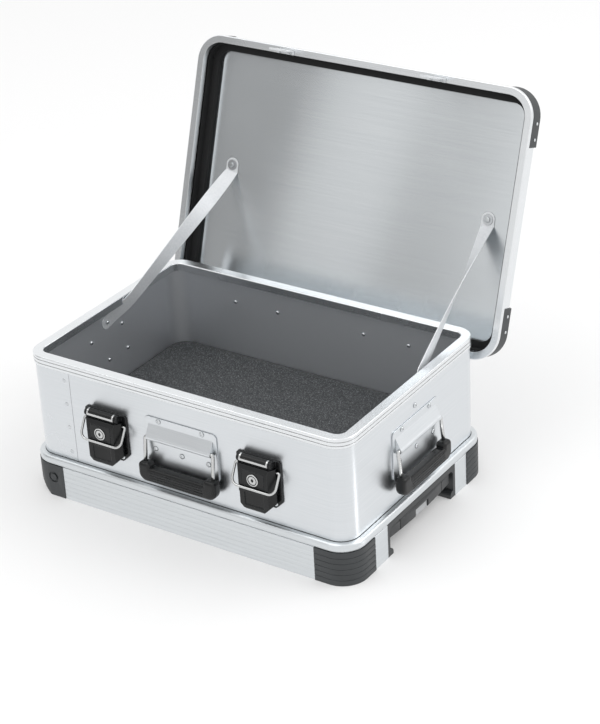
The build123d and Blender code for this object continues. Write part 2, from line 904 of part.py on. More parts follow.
def lever_block():
    half = lever_face_width / 2
    root = lever_root_width / 2
    low, high = lever_bottom, lever_top
    plan = [
        (-root, -lever_back),
        (root, -lever_back),
        (root, -lever_shoulder),
        (half, -lever_front),
        (-half, -lever_front),
        (-root, -lever_shoulder),
    ]
    face = make_face(Polyline(*[(x, y, low) for x, y in plan], close=True))
    solid = extrude(face, amount=high - low, dir=(0, 0, 1))
    side_view = [
        (lever_back, low + 5),
        (lever_back + 5, low),
        (lever_front - 2.5, low),
        (lever_front, low + 3),
        (lever_front, high - lever_slope),
        (roll_out + roll_radius, high),
        (lever_back, high),
    ]
    solid = solid & profile_x(side_view, -root - 1, root + 1)
    for side in sides:
        edge = side * root
        cut = root - half + lever_corner
        corner = [(edge, low - 1), (edge, low + cut), (edge - side * (cut + 1), low - 1)]
        solid -= profile_out(corner, 0, lever_front + 5)
    return solid


def latch_lever():
    solid = lever_block()
    solid += bar_x(roll_radius, -roll_width / 2, roll_width / 2, -roll_out, roll_height)
    solid += block(-roll_width / 2, roll_width / 2, -lever_back, -roll_out - 3, lever_top - 2, roll_height)
    pocket_half = lever_face_width / 2 - lever_wall
    pocket_top = bail_height - bail_wire - lever_wall
    solid -= block(
        -pocket_half, pocket_half, 0, -(lever_front - lever_wall), lever_bottom + lever_wall + 3, pocket_top
    )
    for along, height in latch_rivets():
        relief = head_radius + 1.2
        clear = latch_plate_thickness + head_height + 1.0
        solid -= Pos(along, 0, height) * bar_y(relief, 0, -clear, 0, 0)
    half = badge_width / 2
    solid -= block(-half, half, -lever_front + badge_depth, -lever_front - 1, badge_bottom, badge_top)
    outer = panel_width / 2
    inner = outer - panel_line
    frame = block(-outer, outer, -lever_front + panel_line, -lever_front - 1, panel_bottom, panel_top)
    frame -= block(-inner, inner, 0, -lever_front - 2, panel_bottom + panel_line, panel_top - panel_line)
    solid -= frame
    solid -= bar_y(sleeve_radius, 0, -lever_front - 1, 0, lock_height)
    solid -= bar_x(bail_wire + bail_fit, -lever_root_width, lever_root_width, -bail_out, bail_height)
    for side in sides:
        reach = roll_width / 2
        tip = reach + side_gap + ear_thickness
        solid += bar_x(journal_radius, side * (reach - 1), side * tip, -roll_out, roll_height)
    solid -= clip_shape()
    return solid


# A bright steel clip let into the barrel of the lever
def clip_shape():
    outer = roll_radius + clip_thickness / 2
    inner = roll_radius - clip_thickness / 2
    half = clip_width / 2
    band = bar_x(outer, -half, half, 0, 0) - bar_x(inner, -half - 1, half + 1, 0, 0)
    front = block(-half, half, -outer - 1, 0, -clip_strip, clip_strip / 2)
    arms = Part()
    for side in sides:
        arms += block(side * half, side * (half - clip_strip), -outer - 1, 1, 0, outer + 1)
    return Pos(0, -roll_out, roll_height) * (band & (front + arms))


def latch_clip():
    return clip_shape()


def latch_lock():
    front = lever_front + lock_proud
    bezel = bar_y(lock_radius, -lever_front, -front, 0, lock_height)
    bezel = fillet(bezel.edges().group_by(Axis.Y)[0], 0.8)
    sleeve = bar_y(sleeve_radius, -(lever_front - lever_wall), -lever_front, 0, lock_height)
    bore = bar_y(plug_radius + pin_fit, 0, -front - 1, 0, lock_height)
    return bezel + sleeve - bore


def latch_plug():
    front = lever_front + lock_proud - 0.2
    plug = bar_y(plug_radius, -(front - plug_length), -front, 0, lock_height)
    half = key_slot_width / 2
    tall = key_slot_height / 2
    return plug - block(-half, half, -front - 1, -front + 4, lock_height - tall, lock_height + tall)


def bail_bar_out():
    return lever_front + bail_wire + 0.4


def latch_bail():
    x = bail_half_width
    inner = lever_root_width / 2 - 5
    low = bail_height - bail_drop
    points = [
        (-inner, -bail_out, bail_height),
        (-x, -bail_out, bail_height),
        (-x, -bail_bar_out(), low),
        (x, -bail_bar_out(), low),
        (x, -bail_out, bail_height),
        (inner, -bail_out, bail_height),
    ]
    path = FilletPolyline(*points, radius=[bail_wire + 1, bail_bend, bail_bend, bail_wire + 1])
    section = Plane(origin=path @ 0, z_dir=path % 0) * Circle(bail_wire)
    return sweep(section, path=path)


# Drop handles, in the same frame as the latches
def handle_plate():
    half = handle_plate_width / 2
    height = handle_plate_top - handle_plate_bottom
    outline = RectangleRounded(handle_plate_width, height, handle_plate_corner)
    middle = (handle_plate_top + handle_plate_bottom) / 2
    plane = Plane(origin=(0, 0, middle), x_dir=(1, 0, 0), z_dir=(0, -1, 0))
    plate = extrude(plane * outline, handle_plate_thickness)
    radius = handle_wire + handle_wire_fit
    outer = radius + handle_tube_wall
    width = handle_tube_width / 2
    tube = bar_x(outer, -width, width, -handle_axis_out, handle_axis_height)
    low = handle_axis_height - outer
    slope = [
        (0, low),
        (handle_axis_out, low),
        (handle_axis_out + outer * 0.7, handle_axis_height + outer * 0.7),
        (handle_plate_thickness, handle_slope_top),
        (0, handle_slope_top),
    ]
    tube += profile_x(slope, -width, width)
    plate += tube
    plate -= bar_x(radius, -half - 1, half + 1, -handle_axis_out, handle_axis_height)
    for along, height in handle_rivets():
        plate -= Pos(along, 0, height) * rivet_hole(0, handle_plate_thickness)
    return plate


def handle_arm_end():
    return grip_top + grip_horn - arm_in_grip


def handle_bail():
    x = handle_arm_spread / 2
    end = handle_arm_end()
    points = [
        (-x, -handle_grip_out, end),
        (-x, -handle_axis_out, handle_axis_height),
        (x, -handle_axis_out, handle_axis_height),
        (x, -handle_grip_out, end),
    ]
    return wire(points, handle_bend, handle_wire)


def handle_grip():
    half = grip_length / 2
    inner = half - grip_horn_length
    horn_top = grip_top + grip_horn
    outline = [
        (-half, grip_bottom),
        (half, grip_bottom),
        (half, horn_top),
        (inner, horn_top),
        (inner, grip_top),
        (-inner, grip_top),
        (-inner, horn_top),
        (-half, horn_top),
    ]
    near = handle_grip_out - grip_thickness / 2
    far = handle_grip_out + grip_thickness / 2
    body = profile_out(outline, near, far)
    uprights = body.edges().filter_by(Axis.Y)
    body = fillet(uprights.group_by(Axis.Z)[0], grip_corner)
    uprights = body.edges().filter_by(Axis.Y)
    body = fillet(uprights.group_by(Axis.Z)[-1], grip_horn_round)
    faces = body.faces().sort_by(Axis.Y)
    body = fillet(faces[0].edges() + faces[-1].edges(), grip_round)
    pitch = (grip_top - grip_bottom - 2 * grip_round) / max(grip_groove_count - 1, 1)
    reach = half - grip_horn_length
    for index in range(grip_groove_count):
        z = grip_bottom + grip_round + index * pitch
        low, high = z - grip_groove_width / 2, z + grip_groove_width / 2
        body -= block(-reach, reach, -far - 1, -far + grip_groove_depth, low, high)
    for side in sides:
        x = side * handle_arm_spread / 2
        end = handle_arm_end()
        slope = hypot(handle_grip_out - handle_axis_out, handle_axis_height - end)
        way = Vector(0, handle_grip_out - handle_axis_out, handle_axis_height - end) / slope
        plane = Plane(origin=(x, -handle_grip_out, end), x_dir=(1, 0, 0), z_dir=way)
        body -= extrude(plane * Circle(handle_wire), 3 * arm_in_grip)
    return body


# Straps that hold the lid
def strap_rivet_place(side):
    return Pos(side * body_length / 2, strap_body_back, strap_body_height) * Rot(0, 0, side * 90)


def strap_lid_x(side):
    return side * strap_lid_half_spread + strap_lid_shift


def strap_lid_y():
    return lid_width / 2 - strap_lid_from_rear


def washer_stack():
    washer = Pos(0, 0, -strap_thickness - washer_thickness / 2) * Cylinder(washer_radius, washer_thickness)
    head = Cylinder(head_radius, head_height, align=(Align.CENTER, Align.CENTER, Align.MIN))
    head = fillet(head.edges().group_by(Axis.Z)[-1], head_height * 0.7)
    under = Pos(0, 0, -strap_thickness - washer_thickness) * Rot(180, 0, 0) * head
    length = strap_thickness + washer_thickness + lid_skin
    pin = Pos(0, 0, lid_skin - length / 2) * Cylinder(shank_radius, length)
    return washer + under + pin


def strap(side):
    thick = strap_thickness
    wall_x = body_length / 2 - sheet - thick / 2
    lip_x = rim_length / 2 - rim_width - strap_lip_clearance - thick / 2
    turn = radians(open_angle)
    along = Vector(0, -cos(turn), sin(turn))
    inward = Vector(0, sin(turn), cos(turn))
    lid_shut = Vector(0, strap_lid_y() - pin_y, lid_top - lid_skin - thick / 2 - pin_height)
    lid_y = pin_y + lid_shut.Y * cos(turn) + lid_shut.Z * sin(turn)
    lid_z = pin_height - lid_shut.Y * sin(turn) + lid_shut.Z * cos(turn)
    rivet_low = Vector(wall_x, strap_body_back, strap_body_height)
    rivet_high = Vector(side * strap_lid_x(side), lid_y, lid_z)
    reach = rivet_high - rivet_low
    run = Vector(0, reach.Y, reach.Z).normalized()
    lip_z = lip_bottom - strap_width / 2
    share = (lip_z - rivet_low.Z) / reach.Z
    lip = Vector(lip_x, rivet_low.Y + share * reach.Y, lip_z)
    tab_foot = rivet_high - along * strap_tab
    tab_end = rivet_high + along * strap_tab
    sideways = Vector(1, 0, 0)
    sections = [
        (rivet_low - run * strap_tab, run, sideways),
        (rivet_low + run * strap_tab, run, sideways),
    ]
    pull = (tab_foot - lip).normalized()
    steps = strap_turns
    flat = sideways - pull * sideways.dot(pull)
    final = inward - pull * inward.dot(pull)
    for index in range(steps + 1):
        part = index / steps
        angle = radians(90) * part**strap_twist_power
        normal = flat.normalized() * cos(angle) + final.normalized() * sin(angle)
        sections.append((lip + (tab_foot - lip) * part, pull, normal))
    sections.append((tab_end, along, inward))
    faces = []
    for centre, way, normal in sections:
        normal = normal - way * normal.dot(way)
        plane = Plane(origin=centre, x_dir=normal.normalized(), z_dir=way)
        faces.append(plane * Rectangle(thick, strap_width))
    band = loft(faces, ruled=True)
    band -= Pos(*rivet_low) * Rot(0, 90, 0) * Cylinder(shank_radius, 4 * thick)
    high = Plane(origin=rivet_high, z_dir=inward)
    band -= extrude(high * Circle(shank_radius), 4 * thick, both=True)
    if side < 0:
        band = mirror(band, about=Plane.YZ)
    return band


nodes = {
    "body_shell": body_shell(),
    "body_rim": body_rim(),
    "body_rivets": body_rivets(),
    "floor_mat": floor_mat(),
    "base_frame": base_frame(),
    "base_beams": base_beams(),
    "bumper_front": bumper(-1),
    "bumper_back": bumper(1),
    "wheel_housing_front": wheel_housing(-1),
    "wheel_housing_back": wheel_housing(1),
    "wheel_tyre_front": wheel_tyre(-1),
    "wheel_tyre_back": wheel_tyre(1),
    "wheel_hub_front": wheel_hub(-1),
    "wheel_hub_back": wheel_hub(1),
    "axle_front": axle(-1),
    "axle_back": axle(1),
    "handle_bezel": handle_bezel(),
    "pull_guides": pull_guides(),
    "pull_stage": pull_stage(),
    "pull_tubes": pull_tubes(),
    "pull_grip": pull_grip(),
    "release_button": release_button(),
    "lid_frame": opened * lid_frame(),
    "lid_panel": opened * lid_panel(),
    "lid_gasket": opened * lid_gasket(),
    "lid_corners": opened * lid_corners(),
    "lid_rivets": opened * lid_rivets(),
}
for name, side in (("left", -1), ("right", 1)):
    nodes[f"lid_catch_{name}"] = opened * lid_catch(side)
    nodes[f"hinge_body_leaf_{name}"] = hinge_body_leaf(side)
    nodes[f"hinge_lid_leaf_{name}"] = opened * hinge_lid_leaf(side)
    nodes[f"hinge_pin_{name}"] = hinge_pin(side)
    nodes[f"strap_{name}"] = strap(side)
    nodes[f"latch_base_{name}"] = at_latch(side) * latch_base()
    nodes[f"latch_lever_{name}"] = at_latch(side) * latch_lever()
    nodes[f"latch_clip_{name}"] = at_latch(side) * latch_clip()
    nodes[f"latch_lock_{name}"] = at_latch(side) * latch_lock()
    nodes[f"latch_plug_{name}"] = at_latch(side) * latch_plug()
    nodes[f"latch_bail_{name}"] = at_latch(side) * latch_bail()
for name, wall in (("front", front_wall), ("right", right_wall), ("left", left_wall)):
    nodes[f"drop_plate_{name}"] = wall * handle_plate()
    nodes[f"drop_bail_{name}"] = wall * handle_bail()
    nodes[f"drop_grip_{name}"] = wall * handle_grip()

for name, solid in nodes.items():
    export_step(solid, f"parts/{name}.step")
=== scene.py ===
import math
import bpy
import bmesh
from mathutils import Matrix, Vector


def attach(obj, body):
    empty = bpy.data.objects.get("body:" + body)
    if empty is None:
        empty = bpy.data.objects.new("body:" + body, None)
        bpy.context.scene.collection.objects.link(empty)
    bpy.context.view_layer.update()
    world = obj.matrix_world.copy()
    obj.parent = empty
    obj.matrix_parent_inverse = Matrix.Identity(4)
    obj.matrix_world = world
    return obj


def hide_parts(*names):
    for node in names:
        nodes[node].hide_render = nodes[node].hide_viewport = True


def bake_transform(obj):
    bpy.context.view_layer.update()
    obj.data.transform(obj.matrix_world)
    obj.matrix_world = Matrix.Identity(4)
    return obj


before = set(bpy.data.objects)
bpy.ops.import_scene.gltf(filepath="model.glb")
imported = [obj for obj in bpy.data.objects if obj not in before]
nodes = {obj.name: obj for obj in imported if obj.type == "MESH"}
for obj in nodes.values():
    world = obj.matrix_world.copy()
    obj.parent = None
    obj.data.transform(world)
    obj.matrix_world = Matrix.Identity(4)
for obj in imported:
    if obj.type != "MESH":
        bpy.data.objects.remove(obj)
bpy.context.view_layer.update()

scene = bpy.context.scene
mm = 0.001
print("frame loaded:", len(nodes), "nodes")


def toLinear(hexColour):
    values = [int(hexColour[i:i + 2], 16) / 255 for i in (1, 3, 5)]
    linear = [v / 12.92 if v <= 0.04045 else ((v + 0.055) / 1.055) ** 2.4 for v in values]
    return (*linear, 1.0)


# adds one node: lower-case settings are its own, the others are sockets
def addNode(tree, kind, settings=None, links=None):
    node = tree.nodes.new(kind)
    for key, value in (settings or {}).items():
        if isinstance(key, str) and key[0].islower():
            setattr(node, key, value)
        else:
            node.inputs[key].default_value = value
    for key, source in (links or {}).items():
        tree.links.new(source, node.inputs[key])
    return node


def newMaterial(name):
    material = bpy.data.materials.new(name)
    material.use_nodes = True
    material.node_tree.nodes.clear()
    return material, material.node_tree


def finishMaterial(tree, shader):
    addNode(tree, "ShaderNodeOutputMaterial", None, {"Surface": shader.outputs[0]})


# shared by all materials: where noise is read, the ranges over which masks run from 0 to 1, the upright that
# the rolling way is taken from, the turn of the grain, and the colour of the painted shade in crevices
noiseAt = (5.3, 2.7, 8.1)
maskRange = dict(edge=(1.0, 0.75), crevice=(0.85, 0.35), inside=(-0.01, -0.04))
nearlyUp = (0.02, 0.03, 1.0)
quarterTurn = 0.25
shadeInCrevices = "#3C3E40"


# noise stretched by a scale per axis, in repeats per metre
def stretchedNoise(tree, scale, detail=3.0, roughness=0.5):
    place = addNode(tree, "ShaderNodeTexCoord")
    mapping = addNode(tree, "ShaderNodeMapping", {"Location": noiseAt, "Scale": scale},
                      {"Vector": place.outputs["Object"]})
    settings = {"Scale": 1.0, "Detail": detail, "Roughness": roughness}
    return addNode(tree, "ShaderNodeTexNoise", settings, {"Vector": mapping.outputs[0]})


# 1 on edges and 0 on flats, from how far a rounded normal leans from the real one
def edgeMask(tree, radius):
    rounded = addNode(tree, "ShaderNodeBevel", {"samples": 4, "Radius": radius})
    real = addNode(tree, "ShaderNodeNewGeometry")
    lean = addNode(tree, "ShaderNodeVectorMath", {"operation": "DOT_PRODUCT"},
                   {0: rounded.outputs[0], 1: real.outputs["Normal"]})
    return mapped(tree, lean.outputs["Value"], 0.0, 1.0, *maskRange["edge"])


# 1 in grooves and where two pieces meet, where shade falls, and 0 on open faces: the mask of the painted shade
def creviceMask(tree, reach):
    ambient = addNode(tree, "ShaderNodeAmbientOcclusion", {"samples": 6, "Distance": reach})
    return mapped(tree, ambient.outputs["AO"], 0.0, 1.0, *maskRange["crevice"])


# the level direction in each upright face, along which sheet is rolled
def rollingWay(tree):
    place = addNode(tree, "ShaderNodeTexCoord")
    way = addNode(tree, "ShaderNodeVectorMath", {"operation": "CROSS_PRODUCT", 1: nearlyUp},
                  {0: place.outputs["Normal"]})
    return addNode(tree, "ShaderNodeVectorTransform",
                   {"vector_type": "VECTOR", "convert_from": "OBJECT", "convert_to": "WORLD"},
                   {"Vector": way.outputs[0]}).outputs[0]


# 1 on faces that look towards the case's upright middle line, 0 on the outside
def insideMask(tree):
    place = addNode(tree, "ShaderNodeTexCoord")
    level = addNode(tree, "ShaderNodeVectorMath", {"operation": "MULTIPLY", 1: (1, 1, 0)},
                    {0: place.outputs["Object"]})
    outward = addNode(tree, "ShaderNodeVectorMath", {"operation": "DOT_PRODUCT"},
                      {0: place.outputs["Normal"], 1: level.outputs[0]})
    return mapped(tree, outward.outputs["Value"], 0.0, 1.0, *maskRange["inside"])


def mixColour(tree, factor, first, second):
    node = addNode(tree, "ShaderNodeMix", {"data_type": "RGBA"})
    for index, value in ((0, factor), (6, first), (7, second)):
        if isinstance(value, (tuple, float)):
            node.inputs[index].default_value = value
        else:
            tree.links.new(value, node.inputs[index])
    return node.outputs[2]


def mapped(tree, source, low, high, fromLow=0.3, fromHigh=0.7):
    settings = {"From Min": fromLow, "From Max": fromHigh, "To Min": low, "To Max": high}
    return addNode(tree, "ShaderNodeMapRange", settings, {"Value": source}).outputs[0]


# bare and plated metals: grain along one way, cloudy gloss, edges a little brighter from handling, painted shade in
# crevices, and for sheet that also lines the case a paler tone painted on the inside to lift its shade, and a gloss
# of its own there
def makeMetal(name, values):
    material, tree = newMaterial(name)
    cloud = stretchedNoise(tree, values["cloudScale"], 2.0)
    grain = stretchedNoise(tree, values["grainScale"], 4.0, 0.6)
    edge = edgeMask(tree, values["edgeRadius"])
    dark, light, wornAndHighlit = (toLinear(values[k]) for k in ("dark", "light", "wornAndHighlit"))
    tone = mixColour(tree, mapped(tree, grain.outputs["Fac"], 0.0, 1.0), dark, light)
    tone = mixColour(tree, mapped(tree, edge, 0.0, values["edgeWearAndHighlight"], 0.0, 1.0), tone, wornAndHighlit)
    # painted shade: ambient occlusion darkens grooves, joints and the rims round rivets towards a grey
    crevice = creviceMask(tree, values["creviceReach"])
    tone = mixColour(tree, mapped(tree, crevice, 0.0, values["creviceShade"], 0.0, 1.0), tone, toLinear(shadeInCrevices))
    rough = mapped(tree, cloud.outputs["Fac"], values["roughLow"], values["roughHigh"])
    rounded = addNode(tree, "ShaderNodeBevel", {"samples": 4, "Radius": values["edgeRadius"]})
    bump = addNode(tree, "ShaderNodeBump", {"Strength": values["bump"], "Distance": values["bumpDepth"]},
                   {"Height": grain.outputs["Fac"], "Normal": rounded.outputs[0]})
    # painted light: faces inside the case are painted a paler tone to lift the shade that falls there
    if "insidePaintedLightTone" in values:
        inside = insideMask(tree)
        tone = mixColour(tree, inside, tone, toLinear(values["insidePaintedLightTone"]))
        rough = addNode(tree, "ShaderNodeMix", {3: values["insideRough"]}, {0: inside, 2: rough}).outputs[0]
    shader = addNode(tree, "ShaderNodeBsdfPrincipled", {"Metallic": values.get("metallic", 1.0)},
                     {"Base Color": tone, "Roughness": rough, "Normal": bump.outputs[0]})
    if "stretch" in values:
        shader.inputs["Anisotropic"].default_value = values["stretch"]
        shader.inputs["Anisotropic Rotation"].default_value = quarterTurn
        tree.links.new(rollingWay(tree), shader.inputs["Tangent"])
    if "insidePaintedLightTone" in values:
        even = addNode(tree, "ShaderNodeMapRange", {"To Min": values["stretch"], "To Max": values["insideStretch"]},
                       {"Value": inside})
        tree.links.new(even.outputs[0], shader.inputs["Anisotropic"])
    finishMaterial(tree, shader)
    return material


# moulded plastics and rubbers: a fine grain from the tool, edges a little lighter from wear, and on the black acetal
# also as a painted highlight
def makeMoulded(name, values):
    material, tree = newMaterial(name)
    grain = stretchedNoise(tree, values["grainScale"], 3.0, 0.65)
    cloud = stretchedNoise(tree, values["cloudScale"], 2.0)
    edge = edgeMask(tree, values["edgeRadius"])
    dark, light, wornAndHighlit = (toLinear(values[k]) for k in ("dark", "light", "wornAndHighlit"))
    tone = mixColour(tree, mapped(tree, cloud.outputs["Fac"], 0.0, 1.0), dark, light)
    # edges lighter: wear, and on the black acetal a painted highlight
    tone = mixColour(tree, mapped(tree, edge, 0.0, values["edgeWearAndHighlight"], 0.0, 1.0), tone, wornAndHighlit)
    if "fleck" in values:
        fleck = stretchedNoise(tree, values["fleckScale"], 1.0)
        tone = mixColour(tree, mapped(tree, fleck.outputs["Fac"], 0.0, 1.0, 0.55, 0.68), tone,
                         toLinear(values["fleck"]))
    rough = mapped(tree, cloud.outputs["Fac"], values["roughLow"], values["roughHigh"])
    rounded = addNode(tree, "ShaderNodeBevel", {"samples": 4, "Radius": values["edgeRadius"]})
    bump = addNode(tree, "ShaderNodeBump", {"Strength": values["bump"], "Distance": values["bumpDepth"]},
                   {"Height": grain.outputs["Fac"], "Normal": rounded.outputs[0]})
    shader = addNode(tree, "ShaderNodeBsdfPrincipled", {"Metallic": 0.0, "IOR": values["ior"]},
                     {"Base Color": tone, "Roughness": rough, "Normal": bump.outputs[0]})
    finishMaterial(tree, shader)
    return material


metals = {
    # clear-anodised aluminium sheet: even silver satin whose rolling grain smears reflections upright; on its inner
    # side it is duller, and painted paler to lift the shade inside the case
    "anodisedSheet": dict(dark="#D9DDE0", light="#E1E4E7", wornAndHighlit="#F4F6F7", cloudScale=(5, 5, 5),
                          grainScale=(9, 9, 900), roughLow=0.27, roughHigh=0.32, bump=0.03,
                          bumpDepth=0.02 * mm, edgeRadius=0.5 * mm, edgeWearAndHighlight=0.4, stretch=0.35,
                          creviceReach=2.0 * mm, creviceShade=0.7, insidePaintedLightTone="#E8EAED", insideRough=0.4,
                          insideStretch=0.5),
    # clear-anodised extrusion: a touch brighter and glossier, with die lines along it
    "anodisedExtrusion": dict(dark="#E6E9EB", light="#EEF0F2", wornAndHighlit="#FAFBFC", cloudScale=(8, 8, 8),
                              grainScale=(12, 12, 900), roughLow=0.22, roughHigh=0.28, bump=0.05,
                              bumpDepth=0.02 * mm, edgeRadius=0.8 * mm, edgeWearAndHighlight=0.5,
                              creviceReach=2.0 * mm, creviceShade=0.9),
    # the same extrusion ribbed finely as a skirt: a little duller, its ribs soft and hardly darker between
    "ribbedExtrusion": dict(dark="#D3D7DA", light="#DDE1E3", wornAndHighlit="#F4F6F7", cloudScale=(8, 8, 8),
                            grainScale=(12, 12, 900), roughLow=0.32, roughHigh=0.38, bump=0.04,
                            bumpDepth=0.02 * mm, edgeRadius=2.2 * mm, edgeWearAndHighlight=0.1,
                            creviceReach=1.0 * mm, creviceShade=0.05),
    # mill-finish aluminium panel: rolled along its length, it mirrors the room in soft upright bands
    "rolledPanel": dict(dark="#D6DADD", light="#DCE0E2", wornAndHighlit="#ECEEF0", cloudScale=(7, 4, 4),
                        grainScale=(6, 500, 500), roughLow=0.20, roughHigh=0.24, bump=0.005,
                        bumpDepth=0.02 * mm, edgeRadius=0.4 * mm, edgeWearAndHighlight=0.3, stretch=0.9,
                        creviceReach=2.5 * mm, creviceShade=0.5),
    # zinc-plated steel: bright, faintly blue, with cloudy plating
    "zincPlatedSteel": dict(dark="#C6CACD", light="#D8DBDD", wornAndHighlit="#F4F5F6", cloudScale=(60, 60, 60),
                            grainScale=(400, 400, 400), roughLow=0.16, roughHigh=0.24, bump=0.05,
                            bumpDepth=0.02 * mm, edgeRadius=0.4 * mm, edgeWearAndHighlight=0.5,
                            creviceReach=2.2 * mm, creviceShade=1.0),
    # zinc-plated steel strip, passivated and dull: a pale, even grey that hardly mirrors
    "dullSteelStrip": dict(dark="#DADDE0", light="#E6E8EA", wornAndHighlit="#ECEEF0", cloudScale=(40, 40, 40),
                           grainScale=(300, 300, 300), roughLow=0.42, roughHigh=0.5, metallic=0.5, bump=0.05,
                           bumpDepth=0.02 * mm, edgeRadius=0.4 * mm, edgeWearAndHighlight=0.5,
                           creviceReach=1.5 * mm, creviceShade=0.8),
    # polished nickel on die-cast zinc: nearly a mirror
    "polishedNickel": dict(dark="#C4C5C5", light="#D4D5D4", wornAndHighlit="#F8F8F6", cloudScale=(80, 80, 80),
                           grainScale=(600, 600, 600), roughLow=0.10, roughHigh=0.16, bump=0.02,
                           bumpDepth=0.01 * mm, edgeRadius=0.3 * mm, edgeWearAndHighlight=0.3,
                           creviceReach=1.8 * mm, creviceShade=1.0),
}
plastics = {
    # moulded black acetal of latches and grips: nearly black, half glossy, so its edges catch the light, and its
    # edges are painted lighter as a highlight too
    "mouldedAcetal": dict(dark="#0D0E0F", light="#131415", wornAndHighlit="#55585A", cloudScale=(30, 30, 30),
                          grainScale=(2600, 2600, 2600), roughLow=0.24, roughHigh=0.32, bump=0.08,
                          bumpDepth=0.03 * mm, edgeRadius=0.9 * mm, edgeWearAndHighlight=0.8, ior=1.41),
    # moulded black nylon: dull black with the tool's spark-eroded grain
    "mouldedNylon": dict(dark="#2F3234", light="#373A3C", wornAndHighlit="#585C5E", cloudScale=(30, 30, 30),
                         grainScale=(2200, 2200, 2200), roughLow=0.46, roughHigh=0.56, bump=0.25,
                         bumpDepth=0.05 * mm, edgeRadius=0.6 * mm, edgeWearAndHighlight=0.6, ior=1.53),
    # moulded dark grey ABS: smoother, with a dull sheen
    "mouldedGreyAbs": dict(dark="#26282A", light="#2D2F31", wornAndHighlit="#505355", cloudScale=(30, 30, 30),
                           grainScale=(2600, 2600, 2600), roughLow=0.40, roughHigh=0.5, bump=0.12,
                           bumpDepth=0.04 * mm, edgeRadius=0.6 * mm, edgeWearAndHighlight=0.5, ior=1.54),
    # silver-painted ABS: metallic lacquer on a moulded button
    "silverLacquer": dict(dark="#A4A6A8", light="#AEB0B2", wornAndHighlit="#C8CACB", cloudScale=(40, 40, 40),
                          grainScale=(3000, 3000, 3000), roughLow=0.32, roughHigh=0.4, bump=0.06,
                          bumpDepth=0.02 * mm, edgeRadius=0.6 * mm, edgeWearAndHighlight=0.4, ior=1.5),
    # extruded foam rubber: matt, nearly black
    "foamRubber": dict(dark="#121314", light="#18191A", wornAndHighlit="#26282A", cloudScale=(40, 40, 40),
                       grainScale=(900, 900, 900), roughLow=0.75, roughHigh=0.85, bump=0.35,
                       bumpDepth=0.1 * mm, edgeRadius=0.6 * mm, edgeWearAndHighlight=0.3, ior=1.5),
    # moulded polyurethane tyre: dark brown-grey, dull, dusty
    "mouldedTyre": dict(dark="#3A3532", light="#4A443F", wornAndHighlit="#5A544E", cloudScale=(60, 60, 60),
                        grainScale=(700, 700, 700), roughLow=0.6, roughHigh=0.72, bump=0.25,
                        bumpDepth=0.08 * mm, edgeRadius=0.8 * mm, edgeWearAndHighlight=0.4, ior=1.5),
    # needled felt mat: dark grey with lighter flecks
    "needledFelt": dict(dark="#2E3032", light="#46484A", wornAndHighlit="#505254", fleck="#7C7F81",
                        fleckScale=(820, 820, 820), cloudScale=(380, 380, 380),
                        grainScale=(900, 900, 900), roughLow=0.85, roughHigh=0.95, bump=0.7,
                        bumpDepth=0.4 * mm, edgeRadius=0.8 * mm, edgeWearAndHighlight=0.2, ior=1.5),
}
made = {name: makeMetal(name, values) for name, values in metals.items()}
made.update({name: makeMoulded(name, values) for name, values in plastics.items()})

finishes = {
    "body_shell": "anodisedSheet", "body_rim": "anodisedExtrusion", "body_rivets": "zincPlatedSteel",
    "floor_mat": "needledFelt", "base_frame": "ribbedExtrusion", "base_beams": "anodisedSheet",
    "bumper_": "mouldedNylon", "wheel_housing_": "mouldedNylon", "wheel_tyre_": "mouldedTyre",
    "wheel_hub_": "mouldedGreyAbs", "axle_": "mouldedNylon", "handle_bezel": "mouldedGreyAbs",
    "pull_guides": "anodisedExtrusion", "pull_stage": "anodisedExtrusion", "pull_tubes": "anodisedExtrusion",
    "pull_grip": "mouldedGreyAbs", "release_button": "silverLacquer", "lid_frame": "anodisedExtrusion",
    "lid_panel": "rolledPanel", "lid_gasket": "foamRubber", "lid_corners": "mouldedNylon",
    "lid_rivets": "zincPlatedSteel", "lid_catch_": "dullSteelStrip", "hinge_": "zincPlatedSteel",
    "strap_": "dullSteelStrip", "latch_base_": "mouldedAcetal", "latch_lever_": "mouldedAcetal",
    "latch_clip_": "polishedNickel", "latch_bail_": "polishedNickel", "latch_lock_": "polishedNickel",
    "latch_plug_": "polishedNickel", "drop_plate_": "anodisedSheet", "drop_bail_": "polishedNickel",
    "drop_grip_": "mouldedAcetal",
}


def finishOf(name):
    return made[finishes[max((key for key in finishes if name.startswith(key)), key=len)]]


for name, node in nodes.items():
    node.data.materials.clear()
    node.data.materials.append(finishOf(name))
print("materials on", len(nodes), "nodes")


def linkPiece(name, mesh, finish, body, *replaced, slot=None):
    piece = bpy.data.objects.new(name, mesh)
    scene.collection.objects.link(piece)
    if finish:
        mesh.materials.clear()
        mesh.materials.append(made[finish])
    if body:
        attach(piece, body)
    if replaced:
        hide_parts(*replaced)
    return piece


def shadeSmooth(mesh, angle=35):
    mesh.shade_smooth()
    mesh.set_sharp_from_angle(angle=math.radians(angle))


# a CAD node's own shape with its sharp edges rounded, as moulding and tumbling leave them
softEdges = dict(weld=0.02 * mm, flatDegrees=1.0, segments=2, sharpDegrees=40)


